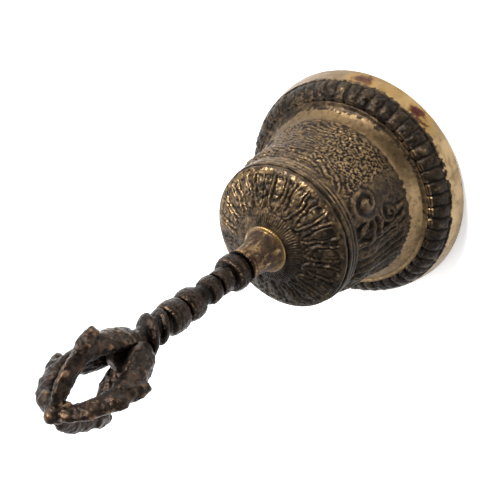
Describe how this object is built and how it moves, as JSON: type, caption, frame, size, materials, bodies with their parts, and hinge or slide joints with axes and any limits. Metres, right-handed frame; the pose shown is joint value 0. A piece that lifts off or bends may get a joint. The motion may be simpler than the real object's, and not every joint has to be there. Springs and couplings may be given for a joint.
{
  "type": "hand bell",
  "caption": "Cast brass hand bell with relief bands, beaded handle, open pronged finial and a ball clapper hung inside on a link.",
  "frame": {"origin": "centre of the mouth, on the plane that the rim rests on", "axes": "+Z from the mouth up the handle to the finial; the prongs stand close to the diagonals between X and Y; the finial leans a little to -X"},
  "size_m": [0.09, 0.09, 0.1656],
  "materials": {
    "aged_brass": "cast, darkened with age, worn golden on the high relief",
    "bright_brass": "turned and polished by use, with brown tarnish",
    "iron": "forged, blackened, with a little rust"
  },
  "bodies": {
    "bell": {"bell_shell": "aged_brass", "handle_collar": "bright_brass", "handle_stem": "aged_brass", "finial_cup": "aged_brass", "prong_1": "aged_brass", "prong_2": "aged_brass", "prong_3": "aged_brass", "prong_4": "aged_brass", "finial_tip": "aged_brass", "tie_rod": "iron", "crown_washer": "iron", "lock_nut": "iron"},
    "link": {"clapper_link": "iron"},
    "clapper": {"clapper_rod": "iron", "clapper_striker": "bright_brass"}
  },
  "joints": [
    {"name": "clapper_swing", "type": "hinge", "parent": "bell", "child": "link", "pos_m": [0, 0, 0.0447], "axis": [1, 0, 0], "range_deg": [-36, 36]},
    {"name": "clapper_sidesway", "type": "hinge", "parent": "link", "child": "clapper", "pos_m": [0, 0, 0.0395], "axis": [0, 1, 0], "range_deg": [-12, 12]}
  ]
}
